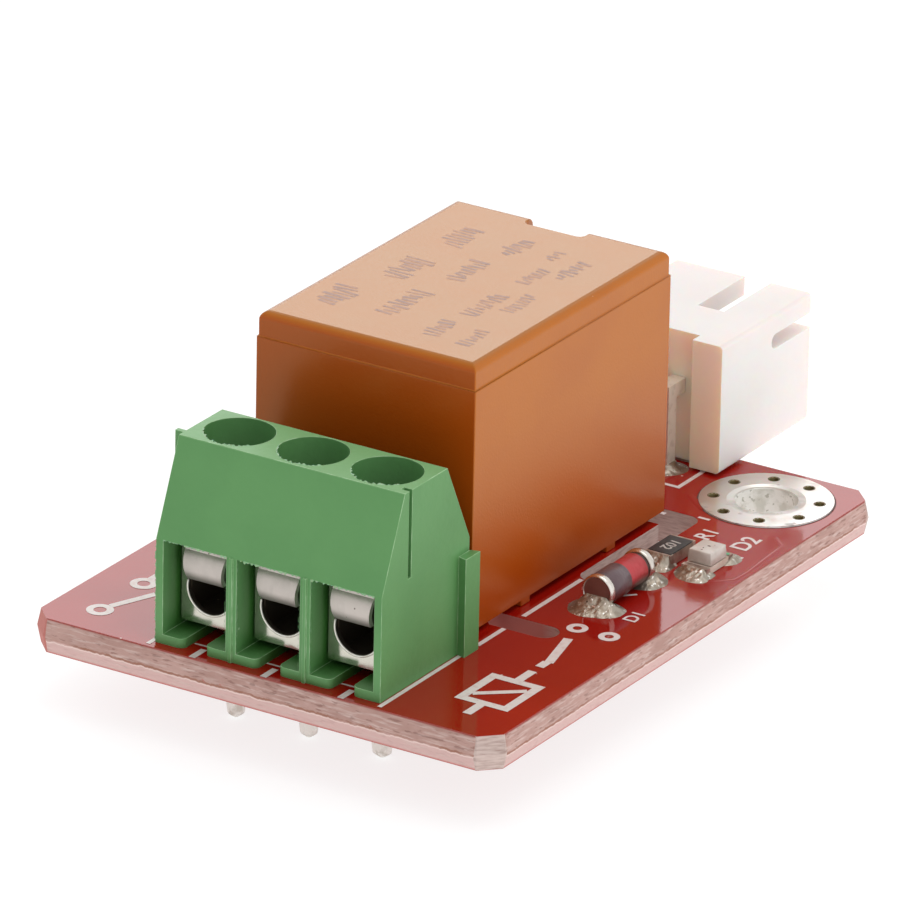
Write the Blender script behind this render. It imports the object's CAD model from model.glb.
import bmesh
import bpy
import numpy as np
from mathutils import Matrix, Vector


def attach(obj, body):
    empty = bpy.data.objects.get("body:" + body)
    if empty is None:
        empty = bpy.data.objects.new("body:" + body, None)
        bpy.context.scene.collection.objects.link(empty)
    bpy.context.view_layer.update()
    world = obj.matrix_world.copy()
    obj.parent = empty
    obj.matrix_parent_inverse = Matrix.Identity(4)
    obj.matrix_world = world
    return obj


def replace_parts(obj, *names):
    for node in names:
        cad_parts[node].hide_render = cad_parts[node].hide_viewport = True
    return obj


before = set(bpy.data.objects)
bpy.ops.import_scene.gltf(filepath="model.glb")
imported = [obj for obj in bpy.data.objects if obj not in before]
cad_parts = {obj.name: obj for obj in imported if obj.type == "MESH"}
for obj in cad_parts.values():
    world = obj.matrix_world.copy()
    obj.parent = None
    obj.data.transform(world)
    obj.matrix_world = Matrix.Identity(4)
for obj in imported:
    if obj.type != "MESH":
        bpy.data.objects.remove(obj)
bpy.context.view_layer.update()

# A one-channel relay module: a small red board with a tan relay, a green screw terminal
# and a white pin header. Sizes are in mm unless said otherwise, +Z is up, and the origin is
# the middle of the board's underside.
MM = 0.001

# The view and the light
# The photograph looks down on the front right corner from far off, in a white light tent
# that is dimmer on the viewer's side, with a bright panel behind the object on its left.
camera_data = bpy.data.cameras.new("photo_camera")
camera_data.lens = 453.8
camera_data.sensor_width = 36.0
camera_data.clip_start, camera_data.clip_end = 0.01, 10.0
camera = bpy.data.objects.new("photo_camera", camera_data)
camera.location = (0.222836, -0.363384, 0.186200)
camera.rotation_euler = np.radians((67.0889, -1.0714, 32.0285))
bpy.context.scene.collection.objects.link(camera)
bpy.context.scene.camera = camera
bpy.context.scene.view_settings.view_transform = "Standard"


def soft_panel(name, place, target, size, watts):
    """A square light panel at place that faces target; size is its side, all in metres."""
    light = bpy.data.lights.new(name, "AREA")
    light.size, light.energy = size, watts
    panel = bpy.data.objects.new(name, light)
    panel.location = place
    panel.rotation_euler = (Vector(target) - Vector(place)).to_track_quat("-Z", "Y").to_euler()
    bpy.context.scene.collection.objects.link(panel)


MIDDLE = (0.0, 0.0, 0.006)
soft_panel("panel_above", (0.05, 0.02, 0.30), MIDDLE, 0.2, 0.20)
soft_panel("panel_behind", (-0.44, 0.42, 0.27), MIDDLE, 0.5, 1.1)
soft_panel("panel_right", (0.50, -0.02, 0.20), MIDDLE, 0.4, 0.14)


def seen_directly(tree):
    """1 for camera, mirror and glass rays and 0 for the rays that carry soft light."""
    path = tree.nodes.new("ShaderNodeLightPath")
    either = [path.outputs[f"Is {kind} Ray"] for kind in ("Camera", "Transmission", "Glossy")]
    while len(either) > 1:
        both = tree.nodes.new("ShaderNodeMath")
        both.operation = "MAXIMUM"
        tree.links.new(either.pop(), both.inputs[0])
        tree.links.new(either.pop(), both.inputs[1])
        either.append(both.outputs[0])
    return either[0]


def between(tree, fac, low, high, to_low=0.0, to_high=1.0):
    """fac mapped from low..high to to_low..to_high and held there outside."""
    ramp = tree.nodes.new("ShaderNodeMapRange")
    for key, value in zip(("From Min", "From Max", "To Min", "To Max"), (low, high, to_low, to_high)):
        ramp.inputs[key].default_value = value
    tree.links.new(fac, ramp.inputs["Value"])
    return ramp


# The tent's strength falls from side to front, by how far a ray points at the viewer's side
tent = bpy.data.worlds.new("light_tent")
bpy.context.scene.world = tent
tent.use_nodes = True
tent_tree = tent.node_tree
tent_background = tent_tree.nodes["Background"]
tent_background.inputs["Color"].default_value = (1.0, 1.0, 1.0, 1.0)
tent_way = tent_tree.nodes.new("ShaderNodeTexCoord")
tent_front = tent_tree.nodes.new("ShaderNodeVectorMath")
tent_front.operation = "DOT_PRODUCT"
tent_front.inputs[1].default_value = (-0.30, -0.95, 0.0)
tent_tree.links.new(tent_way.outputs["Generated"], tent_front.inputs[0])
tent_plain = between(tent_tree, tent_front.outputs["Value"], 0.1, 0.95, 0.92, 0.42)
tent_level = between(tent_tree, seen_directly(tent_tree), 0.0, 1.0)
tent_tree.links.new(tent_plain.outputs["Result"], tent_level.inputs["To Min"])
tent_tree.links.new(tent_level.outputs["Result"], tent_background.inputs["Strength"])

# Floor
# A plain white sheet just below the solder tips. It shows as white and keeps the module's
# faint shadow.
FLOOR = -2.5
SHEET = 3.0


def finish(name, colour, rough, **sockets):
    """A Principled material: base colour, roughness, and any other socket by its name."""
    mat = bpy.data.materials.new(name)
    mat.use_nodes = True
    shader = mat.node_tree.nodes["Principled BSDF"]
    shader.inputs["Base Color"].default_value = (*colour, 1.0)
    shader.inputs["Roughness"].default_value = rough
    for key, value in sockets.items():
        shader.inputs[key.replace("_", " ")].default_value = value
    return mat


floor_sheet = finish("white_sheet", (0.9, 0.9, 0.9), 0.9)
floor_tree = floor_sheet.node_tree
floor_shader = floor_tree.nodes["Principled BSDF"]
floor_shader.inputs["Emission Color"].default_value = (1.0, 1.0, 1.0, 1.0)
floor_seen = seen_directly(floor_tree)
floor_paint = between(floor_tree, floor_seen, 0.0, 1.0, 0.90, 0.24)
floor_glow = between(floor_tree, floor_seen, 0.0, 1.0, 0.50, 0.80)
floor_tree.links.new(floor_paint.outputs["Result"], floor_shader.inputs["Base Color"])
floor_tree.links.new(floor_glow.outputs["Result"], floor_shader.inputs["Emission Strength"])
floor_mesh = bpy.data.meshes.new("floor")
floor_corners = [(x * SHEET, y * SHEET, FLOOR * MM) for x, y in ((-1, -1), (1, -1), (1, 1), (-1, 1))]
floor_mesh.from_pydata(floor_corners, [], [(0, 1, 2, 3)])
floor_mesh.materials.append(floor_sheet)
floor = bpy.data.objects.new("floor", floor_mesh)
bpy.context.scene.collection.objects.link(floor)

# Circuit board
# Glass-fibre laminate under glossy red solder mask. Its slots are milled, so their walls are
# bare pale fibre; copper tracks show as low ridges under the mask.


def spots_of(node):
    """Every point of a CAD node's mesh, in mm."""
    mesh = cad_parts[node].data
    flat = np.zeros(len(mesh.vertices) * 3)
    mesh.vertices.foreach_get("co", flat)
    return flat.reshape(-1, 3) / MM


def box_of(node):
    """Lowest and highest corner of a CAD node, in mm, to a ten-thousandth."""
    spots = spots_of(node)
    return spots.min(axis=0).round(4), spots.max(axis=0).round(4)


TOP = box_of("circuit_board")[1][2]
SKIN = 0.025


def grain(mat, scale, detail=3.0, stretch=(1.0, 1.0, 1.0)):
    """Noise on Object coordinates: scale in waves a metre, stretch squeezes it along an axis."""
    tree = mat.node_tree
    place = tree.nodes.new("ShaderNodeTexCoord")
    turn = tree.nodes.new("ShaderNodeMapping")
    turn.inputs["Scale"].default_value = stretch
    tree.links.new(place.outputs["Object"], turn.inputs["Vector"])
    wave = tree.nodes.new("ShaderNodeTexNoise")
    wave.inputs["Scale"].default_value = scale
    wave.inputs["Detail"].default_value = detail
    tree.links.new(turn.outputs["Vector"], wave.inputs["Vector"])
    return wave.outputs["Fac"]


def along(mat, axis):
    """One of X, Y and Z of Object coordinates, in metres."""
    tree = mat.node_tree
    place = tree.nodes.new("ShaderNodeTexCoord")
    split = tree.nodes.new("ShaderNodeSeparateXYZ")
    tree.links.new(place.outputs["Object"], split.inputs["Vector"])
    return split.outputs[axis]


def step(mat, fac, low, high, to_low=0.0, to_high=1.0):
    """fac mapped from low..high to to_low..to_high and held there outside."""
    return between(mat.node_tree, fac, low, high, to_low, to_high).outputs["Result"]


def across(mat, axis, start, end, to_start=0.0, to_end=1.0):
    """A factor that goes from to_start to to_end between two places on an axis, given in mm."""
    return step(mat, along(mat, axis), start * MM, end * MM, to_start, to_end)


def joined(mat, one, other, operation="MULTIPLY"):
    """Two factors put together: their product, or their sum, larger or smaller by the operation."""
    tree = mat.node_tree
    both = tree.nodes.new("ShaderNodeMath")
    both.operation = operation
    tree.links.new(one, both.inputs[0])
    tree.links.new(other, both.inputs[1])
    return both.outputs[0]


def tint(mat, fac, socket, other):
    """Socket's value goes over to other as fac goes from 0 to 1; calls on top of each other add up."""
    tree = mat.node_tree
    target = tree.nodes["Principled BSDF"].inputs[socket]
    mix = tree.nodes.new("ShaderNodeMix")
    mix.data_type = "RGBA"
    if target.is_linked:
        tree.links.new(target.links[0].from_socket, mix.inputs[6])
    else:
        start = target.default_value
        mix.inputs[6].default_value = start if hasattr(start, "__len__") else (start,) * 3 + (1.0,)
    mix.inputs[7].default_value = (*other, 1.0) if hasattr(other, "__len__") else (other,) * 3 + (1.0,)
    tree.links.new(fac, mix.inputs[0])
    tree.links.new(mix.outputs[2], target)


def relief(mat, fac, depth):
    """Bump from fac, depth in metres; calls on top of each other add up."""
    tree = mat.node_tree
    shader = tree.nodes["Principled BSDF"]
    bump = tree.nodes.new("ShaderNodeBump")
    bump.inputs["Distance"].default_value = depth
    tree.links.new(fac, bump.inputs["Height"])
    if shader.inputs["Normal"].is_linked:
        tree.links.new(shader.inputs["Normal"].links[0].from_socket, bump.inputs["Normal"])
    tree.links.new(bump.outputs["Normal"], shader.inputs["Normal"])


def stain(mat, fac, colour):
    """The base colour goes over to another as fac goes from 0 to 1."""
    tint(mat, fac, "Base Color", colour)


def patches(mat, scale, detail, low, high, stretch=(1.0, 1.0, 1.0), to_low=0.0, to_high=1.0):
    """Blotches: grain mapped from low..high to to_low..to_high and held there outside."""
    return step(mat, grain(mat, scale, detail, stretch), low, high, to_low, to_high)


def mottle(mat, scale, detail, low, high, colour, stretch=(1.0, 1.0, 1.0)):
    """Blotches of another base colour: none where the grain is at low, full where it is at high."""
    stain(mat, patches(mat, scale, detail, low, high, stretch), colour)


def pebbled(mat, depth, scale, detail=3.0, stretch=(1.0, 1.0, 1.0)):
    """A grain of fine bumps, depth in metres."""
    relief(mat, grain(mat, scale, detail, stretch), depth)


def specks(mat, scale, size, share):
    """Scattered round dots: 1 inside a dot of size (0 to 1 of a cell) in that share of the cells."""
    tree = mat.node_tree
    place = tree.nodes.new("ShaderNodeTexCoord")
    cells = tree.nodes.new("ShaderNodeTexVoronoi")
    cells.inputs["Scale"].default_value = scale
    tree.links.new(place.outputs["Object"], cells.inputs["Vector"])
    split = tree.nodes.new("ShaderNodeSeparateColor")
    tree.links.new(cells.outputs["Color"], split.inputs["Color"])
    near = step(mat, cells.outputs["Distance"], size, size * 0.7)
    chosen = step(mat, split.outputs["Red"], share, share * 0.98)
    return joined(mat, near, chosen)


def dress(mat, *nodes):
    """A CAD node keeps its shape and takes this material."""
    for node in nodes:
        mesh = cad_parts[node].data
        mesh.materials.clear()
        mesh.materials.append(mat)


MASK_RED = (0.345, 0.0075, 0.0030)
FIBRE = (0.56, 0.44, 0.40)
solder_mask = finish("red_solder_mask", MASK_RED, 0.07, IOR=1.47)
mottle(solder_mask, 160.0, 2.0, 0.40, 0.62, (0.30, 0.0060, 0.0025))
stain(solder_mask, specks(solder_mask, 900.0, 0.05, 0.2), (0.75, 0.55, 0.52))
pebbled(solder_mask, 0.000006, 420.0, 1.0)
pebbled(solder_mask, 0.0000012, 4200.0, 2.0)
above_skin = across(solder_mask, "Z", TOP - SKIN, TOP - SKIN * 0.3, 1.0, 0.0)
below_skin = across(solder_mask, "Z", SKIN * 0.3, SKIN)
bare_wall = joined(solder_mask, above_skin, below_skin, "MINIMUM")
stain(solder_mask, bare_wall, FIBRE)
fibre_streaks = patches(solder_mask, 1500.0, 5.0, 0.42, 0.72, (1.0, 1.0, 7.0))
stain(solder_mask, joined(solder_mask, bare_wall, fibre_streaks), (0.36, 0.25, 0.22))
front_slot = joined(solder_mask, bare_wall, across(solder_mask, "Y", -3.0, -3.6))
front_slot = joined(solder_mask, front_slot, across(solder_mask, "X", 7.6, 6.6))
stain(solder_mask, front_slot, (0.47, 0.165, 0.140))
tint(solder_mask, bare_wall, "Roughness", 0.85)
dress(solder_mask, "circuit_board")


def sewn(parts):
    """Points and quads of several surfaces, each (grid in mm, closed along rows, closed along columns).

    A quad joins point (i, j) with (i, j + 1), (i + 1, j + 1) and (i + 1, j), round the seam too.
    """
    points, faces, start = [], [], 0
    for grid, closed_rows, closed_columns in parts:
        rows, columns = grid.shape[:2]
        i = np.arange(rows if closed_rows else rows - 1)[:, None]
        j = np.arange(columns if closed_columns else columns - 1)[None, :]
        here, right = i * columns + j, i * columns + (j + 1) % columns
        over, over_right = (i + 1) % rows * columns + j, (i + 1) % rows * columns + (j + 1) % columns
        quads = np.stack((here, right, over_right, over), axis=-1).reshape(-1, 4) + start
        faces += [tuple(q) for q in quads.tolist()]
        points.append(np.asarray(grid, float).reshape(-1, 3) * MM)
        start += rows * columns
    return np.concatenate(points), faces


def settled(name, mesh):
    """An object of this mesh, in the scene, riding on the module."""
    made = bpy.data.objects.new(name, mesh)
    bpy.context.scene.collection.objects.link(made)
    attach(made, "module")
    return made


def piece(name, parts, mat, smooth=True):
    """A piece of the module sewn from its surfaces."""
    points, faces = sewn(parts)
    mesh = bpy.data.meshes.new(name)
    mesh.from_pydata([tuple(v) for v in points], [], faces)
    mesh.polygons.foreach_set("use_smooth", [smooth] * len(mesh.polygons))
    mesh.materials.append(mat)
    mesh.update()
    return settled(name, mesh)


def ribbon(path, section, closed=False):
    """Grid of a section of (sideways, height) points carried along a flat path of (x, y) points.

    Point (i, j) is path point j moved sideways by section i along the mitred normal, at its height.
    """
    line = np.asarray(path, float)
    ahead = np.roll(line, -1, axis=0) - line
    if not closed:
        ahead[-1] = ahead[-2]
    ahead /= np.linalg.norm(ahead, axis=1)[:, None]
    behind = np.roll(ahead, 1, axis=0)
    if not closed:
        behind[0] = ahead[0]
    normal = np.stack((-(ahead + behind)[:, 1], (ahead + behind)[:, 0]), axis=1)
    normal /= np.linalg.norm(normal, axis=1)[:, None]
    mitre = np.sum(normal * np.stack((-ahead[:, 1], ahead[:, 0]), axis=1), axis=1)
    away, rise = np.asarray(section, float).T
    flat = line[None] + away[:, None, None] * (normal / np.clip(mitre, 0.4, 1.0)[:, None])[None]
    level = np.broadcast_to(rise[:, None, None], (*flat.shape[:2], 1))
    return np.concatenate((flat, level), axis=-1), False, closed


def ring(x, y, radius, count):
    """Points (x + r cos a, y + r sin a) round a circle."""
    a = np.linspace(0, 2 * np.pi, count, endpoint=False)
    return np.column_stack((x + radius * np.cos(a), y + radius * np.sin(a)))


def ridge(path, width, closed=False):
    """A track under the mask: flat on top, with sloping sides, a few hundredths of a mm high."""
    half, foot, rise = width / 2, width / 2 + 0.06, 0.018
    section = [(-foot, TOP - 0.004), (-half, TOP + rise), (half, TOP + rise), (foot, TOP - 0.004)]
    return ribbon(path, section, closed)


tracks = [
    ridge([(9.89, 8.75), (10.55, 8.2), (10.75, 4.9), (10.7, 4.1), (10.24, 3.58), (9.3, 3.1)], 0.14),
    ridge([(7.45, 2.4), (7.4, 3.4)], 0.5),
    ridge([(6.0, 9.6), (4.6, 10.6)], 0.3),
    ridge([(-8.3, 5.0), (-8.3, 6.0)], 0.4),
    ridge([(-8.3, 8.6), (-7.4, 10.2), (-5.2, 11.4)], 0.25),
    ridge([(-7.1, 3.2), (-6.2, 3.2), (-5.6, 2.6)], 0.4),
    ridge(ring(3.85, -6.15, 1.0, 40), 0.34, True),
]
piece("board_tracks", tracks, solder_mask)

# Board edges
# The board was snapped out of a panel along V-cuts from both sides, so its bare sides show
# a rough upper cut, a torn line of fibres in the middle and a smoother lower cut.
CORNER = 0.85
SCORE = 0.15
TEAR = 0.66
TEAR_WANDER = 0.03 * MM
edge_fibre = finish("snapped_edge", (0.40, 0.235, 0.200), 0.8)
edge_height = along(edge_fibre, "Z")
mottle(edge_fibre, 700.0, 4.0, 0.36, 0.70, (0.50, 0.315, 0.275), (1.0, 1.0, 2.0))
lower_cut = step(edge_fibre, edge_height, (TEAR + 0.02) * MM, (TEAR - 0.04) * MM)
stain(edge_fibre, lower_cut, (0.60, 0.395, 0.37))
mottle(edge_fibre, 7000.0, 4.0, 0.50, 0.72, (0.60, 0.445, 0.405), (0.14, 0.14, 1.5))
edge_dashes = patches(edge_fibre, 7600.0, 3.0, 0.42, 0.34, (0.25, 0.25, 1.3))
dash_share = step(edge_fibre, edge_height, (TEAR - 0.10) * MM, (TEAR + 0.10) * MM, 0.15, 0.55)
stain(edge_fibre, joined(edge_fibre, edge_dashes, dash_share), (0.19, 0.085, 0.065))
tear_shift = patches(edge_fibre, 900.0, 5.0, 0.3, 0.7, (1.0, 1.0, 0.1), -TEAR_WANDER, TEAR_WANDER)
tear_jitter = patches(edge_fibre, 5200.0, 3.0, 0.3, 0.7, (1.0, 1.0, 0.1), -TEAR_WANDER, TEAR_WANDER)
tear_shift = joined(edge_fibre, tear_shift, tear_jitter, "ADD")
tear_level = joined(edge_fibre, edge_height, tear_shift, "ADD")
tear_low = step(edge_fibre, tear_level, (TEAR - 0.065) * MM, (TEAR - 0.045) * MM)
tear_high = step(edge_fibre, tear_level, (TEAR + 0.075) * MM, (TEAR + 0.035) * MM)
tear_gaps = patches(edge_fibre, 620.0, 4.0, 0.36, 0.50, (1.0, 1.0, 0.1), 0.2, 0.9)
torn_line = joined(edge_fibre, joined(edge_fibre, tear_low, tear_high), tear_gaps)
stain(edge_fibre, torn_line, (0.29, 0.125, 0.080))
pale_low = step(edge_fibre, tear_level, (TEAR - 0.14) * MM, (TEAR - 0.11) * MM)
pale_high = step(edge_fibre, tear_level, (TEAR - 0.06) * MM, (TEAR - 0.08) * MM)
stain(edge_fibre, joined(edge_fibre, pale_low, pale_high), (0.72, 0.55, 0.51))
upper_red = step(edge_fibre, edge_height, (TOP - 0.085) * MM, (TOP - 0.03) * MM)
stain(edge_fibre, upper_red, (0.30, 0.040, 0.030))
lower_red = step(edge_fibre, edge_height, 0.12 * MM, 0.04 * MM)
stain(edge_fibre, lower_red, (0.50, 0.17, 0.15))
pebbled(edge_fibre, 0.00004, 5200.0, 5.0, (0.22, 0.22, 1.8))


def board_rim(half_x, half_y, cut, spacing):
    """Points along a rectangle with cut corners, about spacing apart, and their outward normals."""
    corners = np.array([
        (half_x - cut, -half_y), (half_x, -half_y + cut), (half_x, half_y - cut), (half_x - cut, half_y),
        (-half_x + cut, half_y), (-half_x, half_y - cut), (-half_x, -half_y + cut), (-half_x + cut, -half_y),
    ])
    rim, outward = [], []
    for a, b in zip(corners, np.roll(corners, -1, axis=0)):
        run = b - a
        long = np.hypot(*run)
        count = max(2, int(long / spacing))
        rim.append(a + np.arange(count)[:, None] / count * run)
        outward.append(np.broadcast_to((run[1] / long, -run[0] / long), (count, 2)))
    return np.concatenate(rim), np.concatenate(outward)


def torn(rows, columns, waves, seed):
    """Sum of random sine waves over a closed strip, about -1 to 1: sin(2 pi (n v + m u + phase))."""
    random = np.random.default_rng(seed)
    u = np.linspace(0, 1, rows)[:, None]
    v = np.linspace(0, 1, columns)[None, :]
    total = np.zeros((rows, columns))
    for _ in range(waves):
        n, m, phase = random.integers(6, 260), random.uniform(0.2, 3.0), random.random()
        total += np.sin(2 * np.pi * (n * v + m * u + phase))
    return total / np.sqrt(waves) * 0.7


BOARD_HALF = (box_of("circuit_board")[1][:2] - SCORE).round(4)
rim_xy, rim_out = board_rim(*BOARD_HALF, CORNER, 0.05)
rim_z = np.array([0.0, 0.04, 0.16, 0.34, 0.52, 0.62, 0.67, 0.72, 0.80, 0.95, 1.15, 1.34, 1.46, TOP])
rim_swell = SCORE * (1 - np.abs(rim_z / TOP * 2 - 1)) + 0.015
rim_tear = np.interp(
    rim_z, (0.0, 0.04, 0.55, TEAR, 0.76, 1.40, TOP), (0.0, 0.002, 0.006, 0.020, 0.012, 0.010, 0.0),
)
rim_reach = rim_swell[:, None] + rim_tear[:, None] * (0.5 + torn(len(rim_z), len(rim_xy), 60, 3))
rim_reach[[0, -1]] = -0.012
near_tear = np.exp(-((rim_z - 0.67) / 0.12) ** 2)[:, None]
rim_bend = rim_z[:, None] + 0.010 * near_tear * torn(1, len(rim_xy), 40, 8)
rim_grid = np.concatenate((rim_xy[None] + rim_out[None] * rim_reach[..., None], rim_bend[..., None]), axis=-1)
tuck = np.array([TOP - 0.002, 0.002])
tuck_xy = np.broadcast_to((rim_xy - rim_out * 0.06)[None], (2, len(rim_xy), 2))
tuck_z = np.broadcast_to(tuck[:, None, None], (2, len(rim_xy), 1))
rim_grid = np.concatenate((rim_grid, np.concatenate((tuck_xy, tuck_z), axis=-1)))
piece("board_snapped_edge", [(rim_grid, True, True)], edge_fibre)

# White print on the board
# Screen-printed epoxy ink, a hundredth of a millimetre thick: outlines round the parts,
# part names, and plain circuit symbols of a coil, its contacts and a switch.
INK = TOP + 0.012
white_ink = finish("white_ink", (0.74, 0.66, 0.64), 0.45)
mottle(white_ink, 3400.0, 4.0, 0.50, 0.72, (0.66, 0.52, 0.50))
pebbled(white_ink, 0.000004, 5000.0, 3.0)


def stroke(path, width, closed=False, lift=0.0):
    """A flat printed line of a width along a path."""
    return ribbon(path, [(-width / 2, INK + lift), (width / 2, INK + lift)], closed)


outlines = [
    stroke([(-5.98, 8.3), (-5.98, -7.39), (5.58, -7.39), (5.58, -5.45)], 0.22),
    stroke([(5.58, -3.97), (5.58, 0.55)], 0.22),
    stroke([(-5.98, 8.3), (4.9, 8.3)], 0.22, lift=0.002),
    stroke([(5.55, -14.82), (5.55, -8.2), (-5.45, -8.2), (-5.45, -14.82)], 0.2, lift=0.001),
    stroke([(3.9, 11.0), (3.9, 13.0), (3.4, 13.6), (-3.7, 13.6), (-4.2, 13.0), (-4.2, 11.0)], 0.2),
    stroke([(-4.3, 11.0), (4.0, 11.0)], 0.2, lift=0.002),
    stroke([(6.2, 8.78), (6.75, 8.78)], 0.16),
    stroke([(7.0, 0.5), (7.58, -0.17), (8.24, 0.52)], 0.14),
    stroke([(9.84, 5.5), (9.84, 6.14), (9.2, 6.14)], 0.14),
]
outlines += [stroke([(x, -14.98), (x, -14.05)], 0.3) for x in (-3.25, 0.15, 3.8)]
outlines += [stroke([(x - 0.5, -13.75), (x + 0.5, -13.75)], 0.12, lift=0.002) for x in (-3.4, 0.0, 3.58)]
piece("board_print", outlines, white_ink, smooth=False)

# The coil's box with its slanting stroke and leads, then the contact arm between two poles
sx, sy = 8.75, -10.9
coil_box = [(sx + x * 1.05, sy + y * 1.25) for x, y in ((-1, -1), (1, -1), (1, 1), (-1, 1))]
coil_symbol = [
    stroke(coil_box, 0.4, True),
    stroke([(sx - 0.85, sy - 0.7), (sx + 0.85, sy + 0.7)], 0.3, lift=0.001),
    stroke([(sx, sy - 2.5), (sx, sy - 1.45)], 0.4),
    stroke([(sx, sy + 1.45), (sx, sy + 2.5)], 0.4),
]
sy = -7.35
contact_symbol = [
    stroke([(sx, sy - 0.55), (sx, sy + 0.05)], 0.4),
    stroke([(sx + 0.1, sy), (sx - 0.5, sy + 2.5)], 0.4, lift=0.001),
    stroke(ring(sx - 0.75, sy + 3.6, 0.32, 24), 0.26, True),
    stroke(ring(sx + 0.75, sy + 3.6, 0.32, 24), 0.26, True),
]
sx, sy = -8.9, -11.4
switch_symbol = [
    stroke(ring(sx, sy - 1.7, 0.42, 28), 0.3, True),
    stroke([(sx + 0.15, sy - 1.15), (sx + 1.0, sy + 0.9)], 0.34),
    stroke(ring(sx, sy + 1.5, 0.42, 28), 0.3, True),
    stroke([(sx, sy + 2.05), (sx, sy + 3.4)], 0.34),
]
piece("board_symbols", coil_symbol + contact_symbol + switch_symbol, white_ink, smooth=False)


def lettering(name, words, place, level, size, turn, ink):
    """Flat printed characters, thickened a little, made a mesh with their place in its points."""
    curve = bpy.data.curves.new(name, "FONT")
    curve.body, curve.size, curve.offset = words, size * MM, size * 0.018 * MM
    curve.align_x = curve.align_y = "CENTER"
    source = bpy.data.objects.new(name + "_text", curve)
    bpy.context.scene.collection.objects.link(source)
    bpy.context.view_layer.update()
    mesh = bpy.data.meshes.new_from_object(source)
    bpy.data.objects.remove(source)
    flat = np.zeros(len(mesh.vertices) * 3)
    mesh.vertices.foreach_get("co", flat)
    flat = flat.reshape(-1, 3)
    c, s = np.cos(np.radians(turn)), np.sin(np.radians(turn))
    placed = np.column_stack((flat[:, 0] * c - flat[:, 1] * s, flat[:, 0] * s + flat[:, 1] * c, flat[:, 2]))
    placed += np.array((*place, level)) * MM
    mesh.vertices.foreach_set("co", placed.ravel())
    mesh.materials.clear()
    mesh.materials.append(ink)
    settled(name, mesh)


for words, x, y, size in (("D1", 9.35, -1.47, 0.86), ("R1", 7.45, 7.45, 1.02), ("D2", 9.27, 7.50, 1.15)):
    lettering("print_" + words.lower(), words, (x, y), INK, size, 90.0, white_ink)

# Plated mounting pads
# Copper flanges plated through the corner holes and tinned, uneven and smudged, with a
# crinkled barrel. Eight small plated vias stand round each hole, dull gold inside.
PAD_CENTRE = (7.65, 11.85)
PAD_TOP = TOP + 0.06
VIA_CIRCLE = 4.45 / 2
VIA_RADIUS = 0.19
PAD_RADIUS = 5.65 / 2
LIP_INSIDE, LIP_OUTSIDE = 1.36, 1.66
GAP = 0.07
pad_tin = finish("tinned_pad", (0.90, 0.885, 0.86), 0.34, Metallic=0.9)
tint(pad_tin, patches(pad_tin, 900.0, 4.0, 0.50, 0.70), "Roughness", 0.50)
mottle(pad_tin, 620.0, 5.0, 0.56, 0.72, (0.72, 0.66, 0.60))
mottle(pad_tin, 1500.0, 2.0, 0.64, 0.75, (0.42, 0.38, 0.37))
pebbled(pad_tin, 0.00005, 850.0, 2.0)


def from_middle(mat, x, y):
    """Distance in the XY plane from (x, y) or its mirror image at -x, in metres."""
    tree = mat.node_tree
    place = tree.nodes.new("ShaderNodeTexCoord")
    inward = place.outputs["Object"]
    centre, flat = (x * MM, y * MM, 0.0), (1.0, 1.0, 0.0)
    for operation, value in (("ABSOLUTE", None), ("SUBTRACT", centre), ("MULTIPLY", flat)):
        change = tree.nodes.new("ShaderNodeVectorMath")
        change.operation = operation
        tree.links.new(inward, change.inputs[0])
        if value:
            change.inputs[1].default_value = value
        inward = change.outputs["Vector"]
    size = tree.nodes.new("ShaderNodeVectorMath")
    size.operation = "LENGTH"
    tree.links.new(inward, size.inputs[0])
    return size.outputs["Value"]


pad_dull = step(pad_tin, from_middle(pad_tin, 9.3, 10.8), 1.4 * MM, 4.4 * MM, 0.0, 0.9)
stain(pad_tin, pad_dull, (0.56, 0.50, 0.45))
pad_reach = from_middle(pad_tin, *PAD_CENTRE)
lip = step(pad_tin, pad_reach, LIP_INSIDE * MM, LIP_OUTSIDE * MM)
relief(pad_tin, lip, 0.00016)
on_lip = step(pad_tin, lip, 1.0, 0.6)
lip_stain = patches(pad_tin, 2400.0, 5.0, 0.44, 0.60)
stain(pad_tin, joined(pad_tin, on_lip, lip_stain), (0.68, 0.67, 0.61))
in_barrel = across(pad_tin, "Z", TOP + 0.02, TOP - 0.05)
relief(pad_tin, joined(pad_tin, grain(pad_tin, 2000.0, 4.0), in_barrel), 0.00014)
barrel_lines = joined(pad_tin, patches(pad_tin, 4200.0, 4.0, 0.60, 0.66), in_barrel)
stain(pad_tin, in_barrel, (0.86, 0.85, 0.81))
barrel_waves = joined(pad_tin, patches(pad_tin, 1500.0, 5.0, 0.46, 0.60), in_barrel)
stain(pad_tin, barrel_waves, (0.66, 0.65, 0.59))
stain(pad_tin, barrel_lines, (0.50, 0.49, 0.43))
tint(pad_tin, in_barrel, "Metallic", 0.25)
tint(pad_tin, in_barrel, "Roughness", 0.6)
dress(pad_tin, "mounting_pad_left", "mounting_pad_right")
via_gold = finish("dull_via_gold", (0.20, 0.165, 0.075), 0.5, Metallic=0.7)
mottle(via_gold, 3200.0, 4.0, 0.42, 0.62, (0.13, 0.10, 0.045))
pebbled(via_gold, 0.00002, 7000.0, 3.0)


def turned(profile, centre, turns, axis="Z"):
    """Closed grid of a profile of (radius, height) points turned round an upright axis.

    A point is (r cos a, r sin a, h) from the centre, or (r cos a, h, -r sin a) round axis Y.
    """
    r, h = np.asarray(profile, float).T
    a = np.linspace(0, 2 * np.pi, turns, endpoint=False)
    wide, over = r[:, None] * np.cos(a), r[:, None] * np.sin(a)
    up = np.broadcast_to(h[:, None], wide.shape)
    grid = np.stack((wide, over, up) if axis == "Z" else (wide, up, -over), axis=-1)
    return grid + np.asarray(centre, float), False, True


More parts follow.
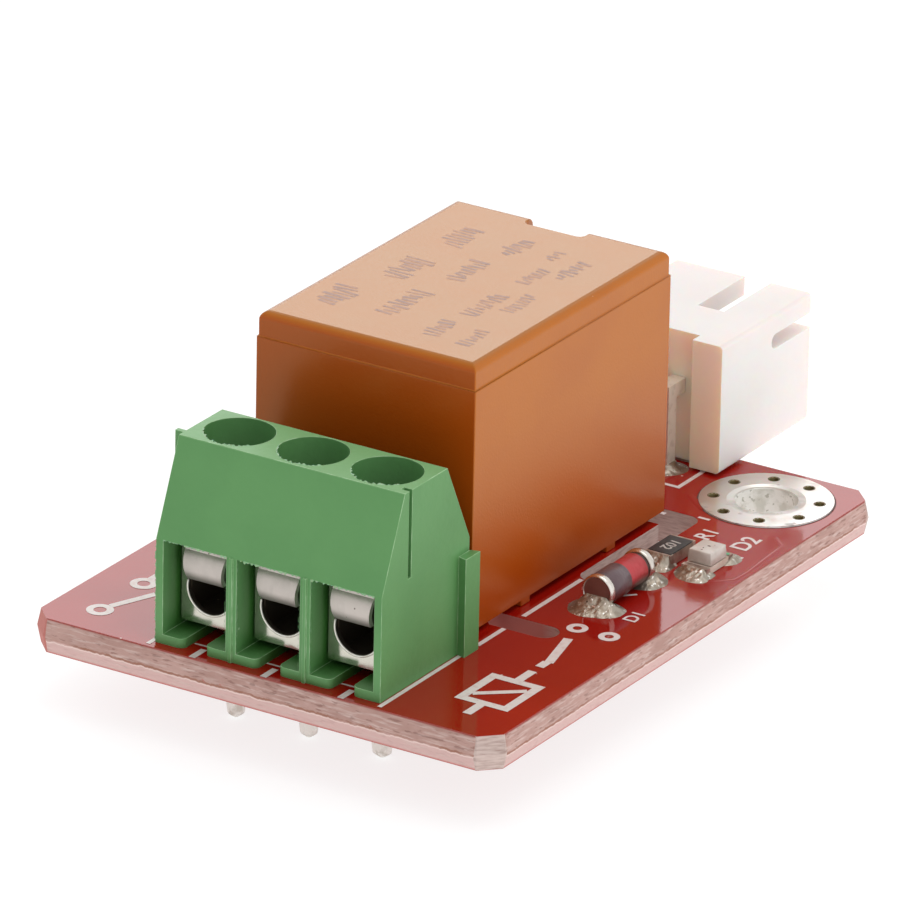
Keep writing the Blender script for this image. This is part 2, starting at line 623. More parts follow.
via_section = [
    (VIA_RADIUS, 0.06), (VIA_RADIUS, PAD_TOP - 0.05), (VIA_RADIUS + 0.03, PAD_TOP + 0.004),
    (VIA_RADIUS + 0.065, PAD_TOP + 0.008), (VIA_RADIUS + 0.08, PAD_TOP - 0.02),
]
vias = []
for side in (-1, 1):
    for a in (np.arange(8) + 0.5) * np.pi / 4:
        spot = (side * PAD_CENTRE[0] + VIA_CIRCLE * np.cos(a), PAD_CENTRE[1] + VIA_CIRCLE * np.sin(a), 0)
        vias.append(turned(via_section, spot, 24))
piece("pad_vias", vias, via_gold)
mask_gap = finish("mask_gap", (0.060, 0.012, 0.010), 0.6)
mottle(mask_gap, 4000.0, 3.0, 0.42, 0.64, (0.10, 0.030, 0.024))
pebbled(mask_gap, 0.000004, 6000.0, 3.0)
gap_radius = PAD_RADIUS + GAP / 2
gap_rings = [ring(side * PAD_CENTRE[0], PAD_CENTRE[1], gap_radius, 96) for side in (-1, 1)]
gaps = [stroke(circle, GAP, True, lift=-0.006) for circle in gap_rings]
piece("mask_gaps", gaps, mask_gap, smooth=False)

# Relay works
# Copper coil on a cream bobbin round an iron core, an iron yoke and its rocking armature, a
# spring blade and two contact strips. They are sealed in the case.
relay_iron = finish("relay_iron", (0.55, 0.54, 0.52), 0.35, Metallic=1.0)
mottle(relay_iron, 900.0, 4.0, 0.42, 0.66, (0.47, 0.455, 0.43))
pebbled(relay_iron, 0.00001, 4000.0)
coil_copper = finish("coil_copper", (0.72, 0.33, 0.17), 0.35, Metallic=1.0)
mottle(coil_copper, 5000.0, 2.0, 0.42, 0.62, (0.58, 0.24, 0.11), (1.0, 1.0, 8.0))
pebbled(coil_copper, 0.00002, 5000.0, 2.0, (1.0, 1.0, 8.0))
bobbin_cream = finish("bobbin_cream", (0.72, 0.68, 0.60), 0.6)
mottle(bobbin_cream, 700.0, 3.0, 0.40, 0.68, (0.66, 0.615, 0.53))
pebbled(bobbin_cream, 0.00001, 6000.0)
contact_bronze = finish("contact_bronze", (0.78, 0.52, 0.30), 0.3, Metallic=1.0)
mottle(contact_bronze, 1200.0, 4.0, 0.42, 0.66, (0.66, 0.42, 0.23))
pebbled(contact_bronze, 0.00001, 4000.0)
dress(relay_iron, "relay_core", "relay_yoke", "relay_armature")
dress(coil_copper, "relay_coil")
dress(bobbin_cream, "relay_bobbin")
dress(contact_bronze, "contact_blade", "rest_contact", "work_contact")

# Relay case
# A moulded tan-orange cap in two steps, with a parting line under its lid. It is satin, paler
# where dust lies on its top, and has faint grey-brown rows of print there.
cover_low, cover_high = box_of("relay_cover")
RELAY_TOP = cover_high[2]
RELAY_MIDDLE = (cover_low + cover_high)[:2] / 2
RELAY_HALF = (cover_high - cover_low)[:2] / 2
LID_ROUND, LID_DISH = 0.12, 0.42


def facing(mat, axis):
    """One of X, Y and Z of the surface's own direction, -1 to 1."""
    tree = mat.node_tree
    way = tree.nodes.new("ShaderNodeTexCoord")
    split = tree.nodes.new("ShaderNodeSeparateXYZ")
    tree.links.new(way.outputs["Normal"], split.inputs["Vector"])
    return split.outputs[axis]


relay_tan = finish("relay_tan", (0.440, 0.113, 0.003), 0.24, IOR=1.5, Specular_Tint=(1.0, 0.96, 0.50, 1.0))
mottle(relay_tan, 240.0, 4.0, 0.40, 0.66, (0.415, 0.100, 0.003))
relay_foot = across(relay_tan, "Z", TOP + 8.0, TOP + 1.5)
relay_front = step(relay_tan, facing(relay_tan, "Y"), -0.5, -0.95)
stain(relay_tan, joined(relay_tan, relay_foot, relay_front, "MAXIMUM"), (0.365, 0.056, 0.002))


def from_border(mat, middle, half):
    """How far a point lies inside a rectangle seen from above, in metres: the smaller of
    half - |place - middle| along X and along Y."""
    tree = mat.node_tree
    place = tree.nodes.new("ShaderNodeTexCoord")
    shift, size, left = (tree.nodes.new("ShaderNodeVectorMath") for _ in range(3))
    shift.operation, size.operation, left.operation = "SUBTRACT", "ABSOLUTE", "SUBTRACT"
    shift.inputs[1].default_value = (middle[0] * MM, middle[1] * MM, 0.0)
    left.inputs[0].default_value = (half[0] * MM, half[1] * MM, 0.0)
    tree.links.new(place.outputs["Object"], shift.inputs[0])
    tree.links.new(shift.outputs["Vector"], size.inputs[0])
    tree.links.new(size.outputs["Vector"], left.inputs[1])
    split = tree.nodes.new("ShaderNodeSeparateXYZ")
    tree.links.new(left.outputs["Vector"], split.inputs["Vector"])
    return joined(mat, split.outputs["X"], split.outputs["Y"], "MINIMUM")


lid_inside = step(relay_tan, from_border(relay_tan, RELAY_MIDDLE, RELAY_HALF), LID_ROUND * MM, LID_DISH * MM)
relief(relay_tan, lid_inside, 0.00010)
lid_dust = across(relay_tan, "Z", RELAY_TOP - 0.10, RELAY_TOP - 0.004)
lid_dust = joined(relay_tan, lid_dust, lid_inside)
dust_cloud = joined(relay_tan, lid_dust, patches(relay_tan, 500.0, 5.0, 0.2, 0.8, to_low=0.55, to_high=1.0))
stain(relay_tan, dust_cloud, (0.400, 0.158, 0.050))
stain(relay_tan, specks(relay_tan, 850.0, 0.055, 0.16), (0.80, 0.55, 0.38))
stain(relay_tan, specks(relay_tan, 520.0, 0.035, 0.10), (0.10, 0.03, 0.01))
pebbled(relay_tan, 0.000008, 9000.0, 3.0)
pebbled(relay_tan, 0.000012, 260.0, 1.0)


SHARP = np.radians(32.0)


def softened(node, mat, width, parts=2, worn=None):
    """A copy of a CAD node, its doubles merged and flat faces joined, with its sharp edges rounded.

    The shading follows the larger faces, so flats stay flat and the roundings between them are
    smooth. The roundings take the material worn, if there is one.
    """
    mesh = bpy.data.meshes.new(node + "_skin")
    shape = bmesh.new()
    shape.from_mesh(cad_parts[node].data)
    bmesh.ops.remove_doubles(shape, verts=shape.verts, dist=2e-6)
    bmesh.ops.dissolve_limit(shape, angle_limit=np.radians(1.0), verts=shape.verts, edges=shape.edges)
    bmesh.ops.recalc_face_normals(shape, faces=shape.faces)
    shape.to_mesh(mesh)
    shape.free()
    mesh.materials.clear()
    mesh.materials.append(mat)
    mesh.polygons.foreach_set("use_smooth", [True] * len(mesh.polygons))
    made = settled(node + "_skin", mesh)
    rounded = made.modifiers.new("rounded_edges", "BEVEL")
    rounded.width, rounded.segments = width * MM, parts
    rounded.limit_method, rounded.angle_limit = "ANGLE", SHARP
    if worn:
        mesh.materials.append(worn)
        rounded.material = 1
    even = made.modifiers.new("flat_faces_first", "WEIGHTED_NORMAL")
    even.weight = 100
    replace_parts(made, node)


softened("relay_cover", relay_tan, LID_ROUND, parts=3)
dress(relay_tan, "relay_base")

# Groups of short bars are the print on the lid: (x, y, width of the group, its length)
lid_ink = finish("lid_ink", (0.25, 0.105, 0.062), 0.36)
mottle(lid_ink, 2200.0, 4.0, 0.42, 0.62, (0.36, 0.140, 0.052))
lid_groups = [
    (-3.75, -3.7, 1.7, 2.2), (-2.95, 0.35, 1.7, 2.6), (-2.85, 4.4, 1.4, 2.2), (-1.0, -2.9, 1.2, 3.0),
    (-0.75, 1.5, 1.1, 2.6), (-0.4, 4.75, 1.1, 2.0), (1.6, -4.4, 1.0, 1.9), (1.8, -1.3, 0.9, 2.8),
    (1.8, 2.45, 0.8, 2.0), (1.35, 4.9, 0.7, 1.3), (3.3, -4.55, 0.9, 1.9), (2.9, -0.3, 0.8, 2.4),
    (2.8, 3.9, 0.8, 2.4),
]
BAR_PITCH = 0.27
strike = np.random.default_rng(4)
bars = []
for group_x, group_y, wide, long in lid_groups:
    for k in range(int(long / BAR_PITCH)):
        low, high = wide * strike.uniform(-0.5, -0.15), wide * strike.uniform(0.15, 0.5)
        place, half = group_y - long / 2 + (k + 0.5) * BAR_PITCH, strike.uniform(0.05, 0.10)
        lean = strike.uniform(-0.08, 0.08)
        level = RELAY_TOP + 0.003 + 0.0001 * k
        path = [(group_x + low, place - lean), (group_x + high, place + lean)]
        bars.append(ribbon(path, [(-half, level), (half, level)]))
piece("lid_print", bars, lid_ink, smooth=False)

# Screw terminal housing
# A green nylon moulding with a sloped face, three screw bores and three wire mouths. Its
# edges are sharp, with thin torn flash left at the rims of the bores and mouths.
cage_low, cage_high = np.array([box_of(f"contact_cage_{way}") for way in (1, 2, 3)]).transpose(1, 0, 2)
CELLS = (cage_low + cage_high)[:, 0] / 2
CELL_HALF = 1.5
BLOCK_LEFT, BLOCK_RIGHT = CELLS[1] - 5.35, CELLS[1] + 5.35
CAGE_FACE = cage_low[0, 1]
BLOCK_FRONT = CAGE_FACE - 1.15
BLOCK_TOP, MOUTH_TOP = box_of("terminal_housing")[1][2], TOP + 4.55
BORE_Y, BORE_RADIUS = -11.32, 1.475
terminal_green = finish("terminal_green", (0.106, 0.282, 0.093), 0.46, IOR=1.45)
mottle(terminal_green, 320.0, 4.0, 0.38, 0.66, (0.094, 0.260, 0.084))
stain(terminal_green, specks(terminal_green, 700.0, 0.05, 0.12), (0.30, 0.48, 0.27))
high_green = across(terminal_green, "Z", BLOCK_TOP - 0.05, BLOCK_TOP - 0.005)
stain(terminal_green, high_green, (0.165, 0.365, 0.145))
deep_green = across(terminal_green, "Y", BLOCK_FRONT + 0.25, BLOCK_FRONT + 1.1)
low_green = across(terminal_green, "Z", MOUTH_TOP + 0.3, MOUTH_TOP + 0.1)
inner_left = across(terminal_green, "X", BLOCK_LEFT + 0.1, BLOCK_LEFT + 0.2)
inner_right = across(terminal_green, "X", BLOCK_RIGHT - 0.1, BLOCK_RIGHT - 0.2)
in_cell = joined(terminal_green, deep_green, low_green)
in_cell = joined(terminal_green, in_cell, joined(terminal_green, inner_left, inner_right))
stain(terminal_green, in_cell, (0.045, 0.165, 0.030))
pebbled(terminal_green, 0.000022, 2600.0, 4.0)
pebbled(terminal_green, 0.00002, 300.0, 2.0)
worn_green = finish("worn_green", (0.20, 0.40, 0.17), 0.5, IOR=1.45)
mottle(worn_green, 1800.0, 4.0, 0.42, 0.62, (0.34, 0.54, 0.30))
pebbled(worn_green, 0.00002, 5000.0, 3.0)
softened("terminal_housing", terminal_green, 0.08, worn=worn_green)

flash_green = finish("flash_green", (0.24, 0.42, 0.21), 0.5, Subsurface_Weight=0.3, Subsurface_Scale=0.0004)
mottle(flash_green, 2600.0, 4.0, 0.42, 0.64, (0.33, 0.50, 0.29))
pebbled(flash_green, 0.00002, 6000.0, 3.0)


def flash(path, outward, reach, seed):
    """A torn fin along a path of (x, y, z) points: it leaves the edge along outward by a jagged amount.

    Point (i, j) is path point j moved by share i of reach * |sum of sines + noise| along outward.
    """
    line = np.asarray(path, float)
    random = np.random.default_rng(seed)
    v = np.linspace(0, 1, len(line))
    jag = sum(np.sin(2 * np.pi * (n * v + random.random())) for n in (2, 5, 11, 17)) / 4
    jag = reach * np.clip(0.25 + 0.9 * jag + 0.12 * random.standard_normal(len(line)), 0.03, 1.0)
    away = np.broadcast_to(np.asarray(outward, float), line.shape)
    share = np.array([-0.3, 0.0, 1.0])[:, None, None]
    fin = line[None] + share * jag[None, :, None] * away[None]
    return fin, False, False


def straight(a, b, count):
    """Points spaced evenly from a to b."""
    a, b = np.asarray(a, float), np.asarray(b, float)
    return a + np.linspace(0, 1, count)[:, None] * (b - a)


fins = []
for k, x in enumerate(CELLS):
    lip_ends = [(x + side * CELL_HALF, BLOCK_FRONT - 0.005, MOUTH_TOP) for side in (-1, 1)]
    lip = straight(*lip_ends, 90)
    fins.append(flash(lip, (0.0, -0.5, -0.85), 0.10, 20 + k))
    a = np.linspace(np.pi * 1.05, np.pi * 1.80, 80)
    rim_x, rim_y = x + BORE_RADIUS * np.cos(a), BORE_Y + BORE_RADIUS * np.sin(a)
    rim = np.column_stack((rim_x, rim_y, np.full_like(a, BLOCK_TOP)))
    inward = np.column_stack((-0.8 * np.cos(a), -0.8 * np.sin(a), np.full_like(a, 0.35)))
    fins.append(flash(rim, inward, 0.12, 40 + k))
for k, wall in enumerate((CELLS[1:] + CELLS[:-1]) / 2):
    for wall_x in (wall - 0.30, wall + 0.30):
        wall_y = BLOCK_FRONT + 0.01
        wall_edge = straight((wall_x, wall_y, TOP + 0.1), (wall_x, wall_y, MOUTH_TOP), 70)
        fins.append(flash(wall_edge, (0.0, -1.0, 0.0), 0.035, 70 + k))
left_edge = straight((BLOCK_LEFT, BLOCK_FRONT, TOP + 0.1), (BLOCK_LEFT, BLOCK_FRONT, MOUTH_TOP), 60)
fins.append(flash(left_edge, (-0.4, -0.8, 0.0), 0.06, 80))
right_edge = straight((BLOCK_RIGHT, BLOCK_FRONT, TOP + 0.1), (BLOCK_RIGHT, BLOCK_FRONT, MOUTH_TOP), 60)
fins.append(flash(right_edge, (0.7, -0.7, 0.0), 0.05, 60))
piece("terminal_flash", fins, flash_green, smooth=False)

# Contact cages
# Folded nickel-plated cages, bright as mirrors outside and dark inside, with a thin bright
# rim round the wire hole of each.
cage_nickel = finish("cage_nickel", (0.62, 0.60, 0.52), 0.12, Metallic=1.0)
tint(cage_nickel, patches(cage_nickel, 800.0, 3.0, 0.50, 0.80), "Roughness", 0.26)
pebbled(cage_nickel, 0.00003, 700.0, 2.0)
inside_cage = across(cage_nickel, "Y", CAGE_FACE + 0.04, CAGE_FACE + 0.10)
stain(cage_nickel, inside_cage, (0.20, 0.165, 0.13))
tint(cage_nickel, inside_cage, "Roughness", 0.55)
inside_specks = joined(cage_nickel, inside_cage, specks(cage_nickel, 2600.0, 0.16, 0.10))
stain(cage_nickel, inside_specks, (0.55, 0.48, 0.38))
hole_rim = finish("hole_rim", (0.93, 0.90, 0.83), 0.28, Metallic=0.6)
mottle(hole_rim, 2200.0, 4.0, 0.46, 0.66, (0.78, 0.73, 0.63))
pebbled(hole_rim, 0.00001, 3000.0)
HOLE_HEIGHT, HOLE_RADIUS = TOP + 2.27, 1.075


def bent_wire(path, normals, radius):
    """A round bead of a radius along a path in a plane: path + r (cos t normal + sin t (0, -1, 0))."""
    t = np.linspace(0, 2 * np.pi, 8, endpoint=False)
    out = np.cos(t)[:, None, None] * normals[None] + np.sin(t)[:, None, None] * np.array((0.0, -1.0, 0.0))
    return path[None] + radius * out, True, False


rims = []
for x in CELLS:
    a = np.linspace(np.pi * 0.92, np.pi * 2.08, 48)
    circle_out = np.column_stack((np.cos(a), np.zeros_like(a), np.sin(a)))
    centre = np.array((x, CAGE_FACE + 0.01, HOLE_HEIGHT))
    rims.append(bent_wire(centre + HOLE_RADIUS * circle_out, circle_out, 0.05))
piece("wire_hole_rims", rims, hole_rim)

# Wire guards and screws
# A bent, tapered spring-steel tongue hangs in each mouth with brushed plating, and a zinc
# plated cheese-head screw in the bore above presses it down.
guard_plate = finish("guard_plate", (0.58, 0.525, 0.485), 0.48, Metallic=0.75)
mottle(guard_plate, 1300.0, 4.0, 0.45, 0.7, (0.50, 0.455, 0.42), (1.0, 1.0, 0.4))
stain(guard_plate, specks(guard_plate, 2400.0, 0.10, 0.08), (0.16, 0.13, 0.11))
stain(guard_plate, step(guard_plate, facing(guard_plate, "Z"), -0.15, -0.75), (0.26, 0.24, 0.22))
stain(guard_plate, step(guard_plate, facing(guard_plate, "X"), 0.6, 0.9), (0.80, 0.77, 0.72))
pebbled(guard_plate, 0.00001, 6000.0, 3.0, (3.0, 1.0, 0.5))
screw_zinc = finish("screw_zinc", (0.62, 0.61, 0.58), 0.32, Metallic=1.0)
mottle(screw_zinc, 1400.0, 4.0, 0.44, 0.66, (0.50, 0.47, 0.42))
pebbled(screw_zinc, 0.00001, 5000.0)
for way in (1, 2, 3):
    dress(cage_nickel, f"contact_cage_{way}")
    dress(guard_plate, f"wire_guard_{way}")
    dress(screw_zinc, f"terminal_screw_{way}")

# Pin header
# An off-white nylon shroud that hangs over the back edge, a little translucent, with softly
# rounded edges and three tinned pins bent down into the board.
header_white = finish(
    "header_white", (0.765, 0.745, 0.725), 0.52,
    Subsurface_Weight=0.5, Subsurface_Scale=0.0016, Specular_IOR_Level=0.3,
)
mottle(header_white, 260.0, 3.0, 0.40, 0.70, (0.74, 0.715, 0.69))
stain(header_white, specks(header_white, 600.0, 0.045, 0.10), (0.22, 0.20, 0.17))
rear_glow = joined(
    header_white, step(header_white, facing(header_white, "Y"), -0.4, -0.95),
    across(header_white, "Z", TOP + 6.0, TOP + 2.5, 0.55, 1.0),
)
stain(header_white, rear_glow, (0.90, 0.80, 0.62))
in_recess = joined(header_white, rear_glow, across(header_white, "Y", 13.1, 13.3))
stain(header_white, in_recess, (0.99, 0.93, 0.76))
pebbled(header_white, 0.000012, 2400.0, 3.0)
softened("header_housing", header_white, 0.14, parts=3)
pin_tin = finish("tinned_pin", (0.82, 0.765, 0.66), 0.30, Metallic=0.45)
mottle(pin_tin, 2600.0, 4.0, 0.50, 0.66, (0.70, 0.64, 0.54))
stain(pin_tin, specks(pin_tin, 2200.0, 0.10, 0.05), (0.05, 0.045, 0.04))
pebbled(pin_tin, 0.00002, 1300.0, 2.0)
dress(pin_tin, "header_pin_1", "header_pin_2", "header_pin_3", "relay_pins")

# Solder
# Tin-lead, bright below the board and browned by flux above it: hollow-sided cones round the
# pins, low collars at the header, and mounds that run up the ends of the small parts.


def solder_finish(name, colour, dull):
    """Solder of a colour with duller blotches, bright grains, a few dark specks and a lumpy skin."""
    mat = finish(name, colour, 0.32, Metallic=0.8)
    tint(mat, patches(mat, 1500.0, 3.0, 0.48, 0.70), "Roughness", 0.50)
    mottle(mat, 2200.0, 5.0, 0.50, 0.64, dull)
    mottle(mat, 5200.0, 2.0, 0.62, 0.68, (0.85, 0.83, 0.78))
    stain(mat, specks(mat, 2600.0, 0.14, 0.14), (0.10, 0.08, 0.06))
    pebbled(mat, 0.00013, 2300.0, 5.0)
    return mat


bright_solder = solder_finish("bright_solder", (0.80, 0.77, 0.72), (0.60, 0.56, 0.50))
smoky_solder = solder_finish("smoky_solder", (0.36, 0.315, 0.26), (0.26, 0.21, 0.16))
SOLDER_FOOT = 0.95
CONE_SIDES = 28


def solder_cone(x, y, seed, flip=1.0, base=0.0, waist=0.60, tip=0.36, reach=2.45):
    """A turned, dented cone with hollow sides: r = tip + (waist - tip) (1 - s) + (foot - waist) (1 - s)^4.

    s runs from 0 at the board to 1 at the tip; flip is 1 for a cone below the board and -1 above.
    """
    random = np.random.default_rng(seed)
    s = np.linspace(0, 1, 16)
    r = tip + (waist - tip) * (1 - s) + (SOLDER_FOOT - waist) * (1 - s) ** 4
    r[-1] = tip * 0.45
    grid, _, _ = turned(np.column_stack((r, -flip * reach * s)), (0, 0, 0), CONE_SIDES)
    a = np.linspace(0, 2 * np.pi, CONE_SIDES, endpoint=False)
    dent = 1 + 0.06 * np.sin(a[None] * 2 + random.uniform(0, 6)) + 0.04 * np.sin(a[None] * 3 + 5 * s[:, None])
    grid[..., :2] *= dent[..., None]
    grid = np.concatenate((grid, np.broadcast_to(np.array((0.0, 0.0, -flip * reach)), (1, CONE_SIDES, 3))))
    if flip < 0:
        grid = grid[:, ::-1]
    return grid + np.array((x, y, base)), False, True


PIN_APART = 1.3


def pin_centres(*nodes):
    """Centres in x and y, in mm, of the pins of these nodes where they stand below the board.

    Points nearer to each other than PIN_APART belong to one pin.
    """
    found = []
    for node in nodes:
        spots = spots_of(node)
        spots = spots[spots[:, 2] < -0.1, :2]
        while len(spots):
            near = np.hypot(*(spots - spots[0]).T) < PIN_APART
            found.append((spots[near].min(axis=0) + spots[near].max(axis=0)) / 2)
            spots = spots[~near]
    return found


JOINTS = dict(
    terminal_solder=[f"contact_cage_{way}" for way in (1, 2, 3)], relay_solder=["relay_pins"],
    header_solder=[f"header_pin_{way}" for way in (1, 2, 3)],
)
for node, pins in JOINTS.items():
    cones = [solder_cone(x, y, n) for n, (x, y) in enumerate(pin_centres(*pins))]
    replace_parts(piece(node + "_joints", cones, bright_solder), node)
collars = [
    solder_cone(x, y, 9 + n, -1.0, TOP, waist=0.66, tip=0.46, reach=0.34)
    for n, (x, y) in enumerate(pin_centres(*JOINTS["header_solder"]))
]
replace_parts(piece("header_collars", collars, smoky_solder), "header_solder")


def mound(x, y, wide, long, core, climb, roundness, seed):
    """Solder run up round a part's end: height climb (1 - p)^1.5 + 0.07 (1 - p^4), lumpy with slow sines.

    p goes from 0 on a line of width core along X to 1 at the toe, a superellipse wide and long
    across, whose roundness is its power, made ragged by a few per cent.
    """
    random = np.random.default_rng(seed)
    p = np.linspace(0, 1, 18)[:, None]
    a = np.linspace(0, 2 * np.pi, 52, endpoint=False)[None, :]
    c, s = np.cos(a), np.sin(a)
    toe = (np.abs(c) ** roundness + np.abs(s) ** roundness) ** (-1 / roundness)
    for n in (2, 3, 5, 9):
        toe = toe * (1 + 0.11 / n * np.sin(n * a + random.uniform(0, 6)))
    lump = sum(np.sin(n * a + m * p + random.uniform(0, 6)) for n, m in ((3, 5), (5, 9), (8, 4), (13, 11)))
    high = climb * (1 - p) ** 1.5 + 0.07 * (1 - p**4) + 0.014 * lump * p * (1 - p) * 4
    sideways = core / 2 * c * (1 - p) + wide / 2 * toe * c * p
    grid = np.stack((x + sideways, y + long / 2 * p * toe * s, TOP + 0.002 + np.maximum(high, 0)), axis=-1)
    return grid[::-1], False, True


# The mounds at each part's two ends: (width, length, width of core, climb, roundness)
MOUNDS = dict(
    diode_caps=(2.35, 2.0, 0.95, 0.52, 2.0), resistor_caps=(1.5, 1.25, 1.0, 0.48, 3.0),
    led_caps=(1.75, 1.45, 0.9, 0.30, 2.6), base_resistor_caps=(1.5, 1.25, 1.0, 0.48, 3.0),
)
mounds = []
for node, sizes in MOUNDS.items():
    low, high = box_of(node)
    for end in (low[1], high[1]):
        mounds.append(mound((low[0] + high[0]) / 2, end, *sizes, seed=len(mounds) + 3))
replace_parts(piece("part_mounds", mounds, smoky_solder), "chip_solder")

# Glass diode
# Red glass sealed between two plated metal studs, with a dark painted band round the end
# that points at the terminal. The stud's end face is dull and brownish.
caps_low, caps_high = box_of("diode_caps")
diode_middle = (caps_low + caps_high) / 2
diode_y = diode_middle[1]
STUD, diode_half = (caps_high - caps_low)[:2] / 2
diode_glass = finish(
    "diode_glass", (0.46, 0.036, 0.044), 0.42,
    Coat_Weight=0.12, Coat_Roughness=0.10, Specular_IOR_Level=0.3,
)
mottle(diode_glass, 800.0, 3.0, 0.45, 0.66, (0.36, 0.020, 0.022))
band_end = across(diode_glass, "Y", diode_y - 0.05, diode_y - 0.09)
stain(diode_glass, band_end, (0.115, 0.072, 0.080))
tint(diode_glass, band_end, "Roughness", 0.32)
glass_gap = across(diode_glass, "Y", diode_y + 1.18, diode_y + 1.24)
stain(diode_glass, glass_gap, (0.05, 0.018, 0.016))
glass_shade = step(diode_glass, facing(diode_glass, "Z"), 0.15, -0.35)
stain(diode_glass, glass_shade, (0.085, 0.020, 0.016))
pebbled(diode_glass, 0.00003, 2600.0, 2.0)
glass_profile = [
    (0.60, -diode_half + 0.30), (0.66, -diode_half + 0.36), (0.70, -diode_half + 0.50), (0.705, -0.10),
    (0.665, -0.06), (0.66, 0.0), (0.67, diode_half - 0.55), (0.63, diode_half - 0.42),
    (0.60, diode_half - 0.30),
]
glass_tube = turned(glass_profile, diode_middle, 40, "Y")
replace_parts(piece("diode_glass_tube", [glass_tube], diode_glass), "diode_glass")

stud_metal = finish("stud_metal", (0.74, 0.70, 0.65), 0.24, Metallic=1.0)
mottle(stud_metal, 1500.0, 4.0, 0.44, 0.66, (0.60, 0.54, 0.47))
pebbled(stud_metal, 0.00002, 2400.0, 3.0)
stud_face = finish("stud_face", (0.30, 0.155, 0.125), 0.42, Metallic=0.75)
mottle(stud_face, 1100.0, 4.0, 0.40, 0.66, (0.22, 0.12, 0.10))
pebbled(stud_face, 0.00002, 2400.0, 3.0)
stud_rim = [
    (0.60, 0.34), (STUD - 0.03, 0.34), (STUD, 0.30), (STUD, 0.06), (STUD - 0.05, 0.0),
    (STUD - 0.11, 0.02), (STUD - 0.12, 0.06),
]
stud_plate = [(STUD - 0.12, 0.03), (0.3, 0.015), (0.0, 0.012)]
studs, plates = [], []
for side in (-1, 1):
    for profile, group in ((stud_rim, studs), (stud_plate, plates)):
        shape = [(r, side * (diode_half - h)) for r, h in profile]
        grid, rows, columns = turned(shape, diode_middle, 40, "Y")
        group.append((grid if side < 0 else grid[:, ::-1], rows, columns))
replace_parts(piece("diode_studs", studs, stud_metal), "diode_caps")
piece("diode_stud_faces", plates, stud_face)

# Chip resistors
# Ceramic chips with tinned ends, glazed black on top. The one beside the diode has a printed
# value; the other stands by the driver transistor.
chip_black = finish("chip_black", (0.020, 0.019, 0.020), 0.40, Specular_IOR_Level=0.3)
mottle(chip_black, 2600.0, 3.0, 0.44, 0.66, (0.034, 0.032, 0.032))
pebbled(chip_black, 0.00001, 5000.0)
chip_tin = finish("chip_tin", (0.46, 0.36, 0.30), 0.38, Metallic=0.6)
mottle(chip_tin, 2200.0, 4.0, 0.45, 0.62, (0.30, 0.21, 0.17))
pebbled(chip_tin, 0.00003, 2600.0, 3.0)
value_ink = finish("value_ink", (0.50, 0.48, 0.45), 0.5)
mottle(value_ink, 5200.0, 4.0, 0.44, 0.64, (0.38, 0.36, 0.33))
pebbled(value_ink, 0.000004, 6000.0)
dress(chip_tin, "resistor_body", "resistor_caps", "base_resistor_body", "base_resistor_caps")
GLAZE = box_of("resistor_caps")[1][2]


def glaze_plate(middle, width, length):
    """A flat glazed layer with a sloping rim: sections of (inset, height) carried round a rectangle."""
    corners = np.array([(-1, -1), (1, -1), (1, 1), (-1, 1)]) * (width / 2, length / 2) + middle
    rows = [(0.0, -0.02), (0.0, 0.012), (0.03, 0.02), (0.3, 0.022)]
    inward = np.sign(middle - corners)
    levels = [np.column_stack((corners + inward * inset, np.full(4, GLAZE + h))) for inset, h in rows]
    levels.append(np.broadcast_to(np.array((*middle, GLAZE + 0.022)), (4, 3)))
    return np.stack(levels), False, True


chip_places = [sum(box_of(node))[:2] / 2 for node in ("resistor_caps", "base_resistor_caps")]
glazes = [glaze_plate(place, 1.12, 1.78) for place in chip_places]
piece("resistor_glaze", glazes, chip_black, smooth=False)
lettering("resistor_value", "102", chip_places[0], GLAZE + 0.028, 0.68, -95.0, value_ink)

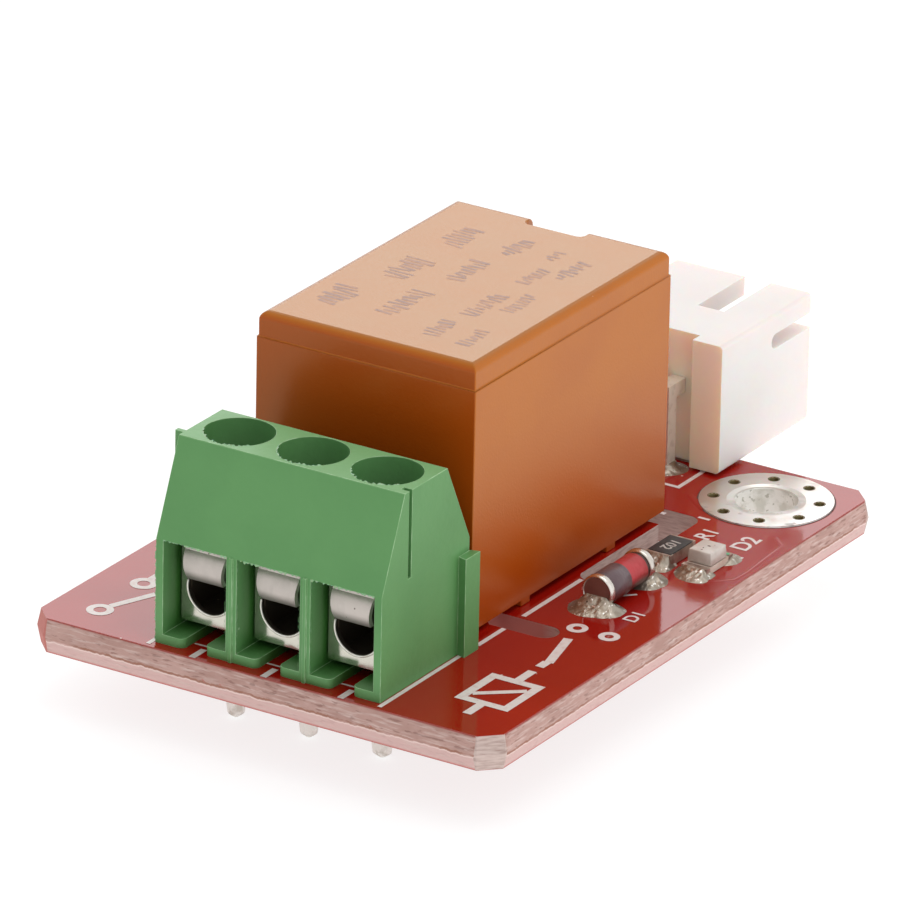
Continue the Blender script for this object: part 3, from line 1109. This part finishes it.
# Chip lamp
# A cream ceramic foot with plated ends under a block of milky resin; the chip and its bond
# wire show through as small dark marks, and a green dot marks one end.
lens_low, lens_high = box_of("led_lens")
lamp_x, lamp_y = (lens_low + lens_high)[:2] / 2
LENS_TOP = lens_high[2] + 0.006
lamp_resin = finish("lamp_resin", (0.50, 0.44, 0.39), 0.30, Coat_Weight=0.4, Coat_Roughness=0.2)
mottle(lamp_resin, 1300.0, 3.0, 0.45, 0.65, (0.62, 0.57, 0.52))
pebbled(lamp_resin, 0.00002, 2200.0, 2.0)
lamp_foot = finish("lamp_foot", (0.70, 0.60, 0.52), 0.5)
mottle(lamp_foot, 1500.0, 4.0, 0.44, 0.66, (0.60, 0.49, 0.40))
pebbled(lamp_foot, 0.00001, 3000.0)
softened("led_lens", lamp_resin, 0.05)
dress(lamp_foot, "led_body")
dress(chip_tin, "led_caps", "transistor_leads")
mark_brown = finish("mark_brown", (0.10, 0.055, 0.045), 0.4)
mottle(mark_brown, 5000.0, 3.0, 0.42, 0.64, (0.17, 0.10, 0.08))
pebbled(mark_brown, 0.000004, 6000.0)


def dot(x, y, z, wide, long, turn=0.0):
    """A small flat oval: (a cos t, b sin t) turned and moved."""
    t = np.linspace(0, 2 * np.pi, 14, endpoint=False)
    c, s = np.cos(np.radians(turn)), np.sin(np.radians(turn))
    oval = np.column_stack((wide / 2 * np.cos(t), long / 2 * np.sin(t)))
    rim = np.column_stack((oval @ np.array(((c, s), (-s, c))) + (x, y), np.full_like(t, z)))
    return np.stack((rim, np.broadcast_to(np.array((x, y, z + 0.002)), rim.shape))), False, True


marks = [
    dot(lamp_x + 0.05, lamp_y + 0.05, LENS_TOP, 0.16, 0.11),
    dot(lamp_x - 0.06, lamp_y - 0.22, LENS_TOP, 0.07, 0.12, 30.0),
    dot(lamp_x - 0.02, lamp_y - 0.42, LENS_TOP, 0.08, 0.10, -20.0),
    dot(lamp_x + 0.22, lamp_y + 0.22, LENS_TOP, 0.05, 0.05),
]
piece("lamp_marks", marks, mark_brown, smooth=False)
mark_green = finish("mark_green", (0.05, 0.45, 0.20), 0.4)
mottle(mark_green, 5000.0, 3.0, 0.42, 0.64, (0.10, 0.33, 0.16))
pebbled(mark_green, 0.000004, 6000.0)
polarity_dot = dot(lamp_x + 0.45, lamp_y + 0.86, TOP + 0.37, 0.22, 0.16)
piece("lamp_polarity_dot", [polarity_dot], mark_green, smooth=False)

# Driver transistor
# A black epoxy moulding with three tinned leads, soldered down on the side that the relay
# hides. It switches the coil.
moulding_black = finish("moulding_black", (0.025, 0.025, 0.027), 0.5)
mottle(moulding_black, 1800.0, 4.0, 0.44, 0.66, (0.042, 0.041, 0.042))
pebbled(moulding_black, 0.00002, 5000.0)
dress(moulding_black, "transistor_body")
